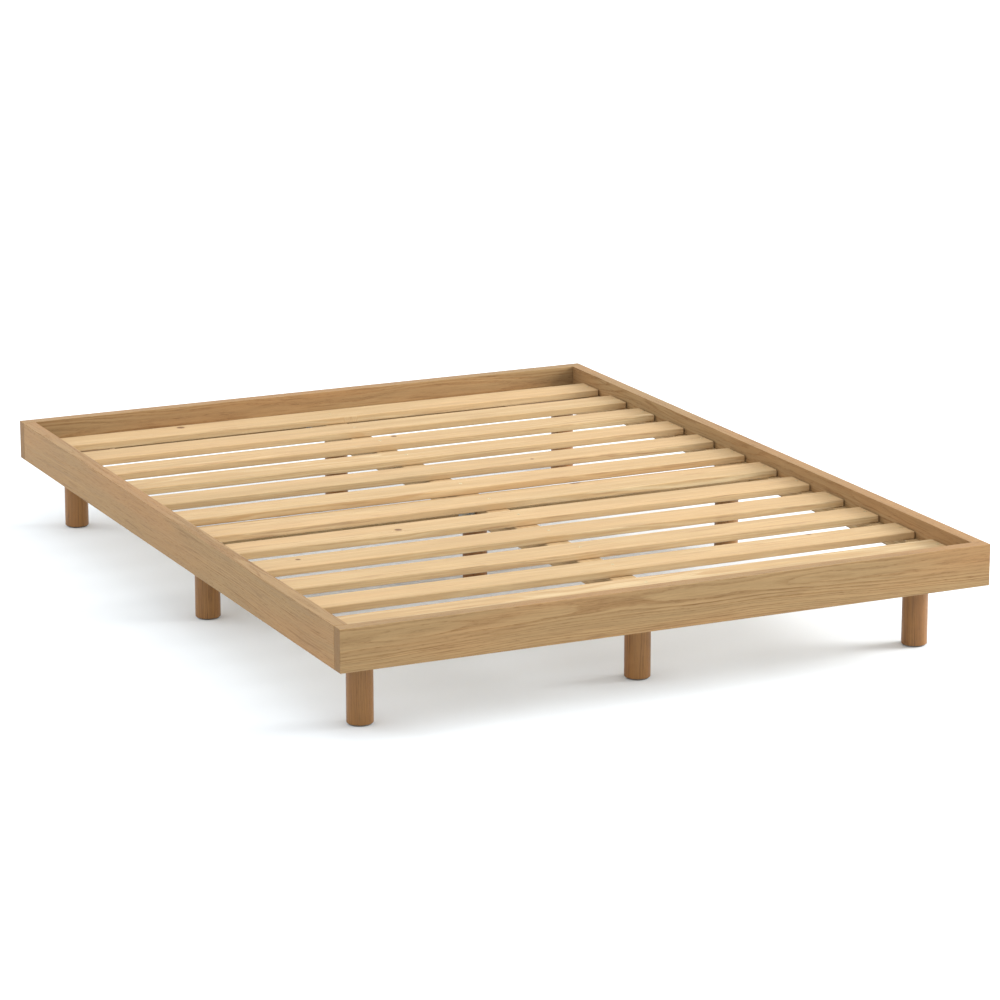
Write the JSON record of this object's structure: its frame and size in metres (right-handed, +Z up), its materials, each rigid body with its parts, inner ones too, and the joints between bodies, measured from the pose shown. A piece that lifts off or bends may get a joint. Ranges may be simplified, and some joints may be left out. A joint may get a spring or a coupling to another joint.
{
  "type": "platform bed frame",
  "caption": "Low rectangular oak platform bed frame with a plain rim, sunken slatted deck, centre support rail and short round legs, for carrying one queen-size mattress.",
  "frame": {"origin": "on the floor, under the middle of the rim", "axes": "+X across the bed to the right as seen from the foot, +Y from the foot to the head, +Z up"},
  "size_m": [1.61, 2.11, 0.263],
  "materials": {
    "oak_rail": "satin clear lacquer on straight-grained natural oak",
    "oak_leg": "satin clear lacquer on turned natural oak, a little darker than the rails",
    "pine": "planed pine, unfinished",
    "plywood": "sanded birch plywood, unfinished",
    "zinc_steel": "bright zinc plate",
    "felt": "dense needled felt"
  },
  "bodies": {
    "root": {"foot_rail": "oak_rail", "head_rail": "oak_rail", "left_side_rail": "oak_rail", "right_side_rail": "oak_rail", "left_ledger": "pine", "right_ledger": "pine", "foot_ledger": "pine", "head_ledger": "pine", "centre_rail": "pine", "left_bearer": "pine", "right_bearer": "pine", "foot_hanger": "zinc_steel", "head_hanger": "zinc_steel", "foot_left_gusset": "plywood", "foot_left_bracket": "zinc_steel", "foot_right_gusset": "plywood", "foot_right_bracket": "zinc_steel", "head_left_gusset": "plywood", "head_left_bracket": "zinc_steel", "head_right_gusset": "plywood", "head_right_bracket": "zinc_steel", "slat_01": "pine", "slat_02": "pine", "slat_03": "pine", "slat_04": "pine", "slat_05": "pine", "slat_06": "pine", "slat_07": "pine", "slat_08": "pine", "slat_09": "pine", "slat_10": "pine", "slat_11": "pine", "slat_12": "pine", "foot_left_leg": "oak_leg", "foot_left_leg_bolt": "zinc_steel", "foot_left_pad": "felt", "foot_centre_leg": "oak_leg", "foot_centre_leg_bolt": "zinc_steel", "foot_centre_pad": "felt", "foot_right_leg": "oak_leg", "foot_right_leg_bolt": "zinc_steel", "foot_right_pad": "felt", "middle_left_leg": "oak_leg", "middle_left_leg_bolt": "zinc_steel", "middle_left_pad": "felt", "middle_centre_leg": "oak_leg", "middle_centre_leg_bolt": "zinc_steel", "middle_centre_pad": "felt", "middle_right_leg": "oak_leg", "middle_right_leg_bolt": "zinc_steel", "middle_right_pad": "felt", "head_left_leg": "oak_leg", "head_left_leg_bolt": "zinc_steel", "head_left_pad": "felt", "head_centre_leg": "oak_leg", "head_centre_leg_bolt": "zinc_steel", "head_centre_pad": "felt", "head_right_leg": "oak_leg", "head_right_leg_bolt": "zinc_steel", "head_right_pad": "felt"}
  },
  "joints": []
}
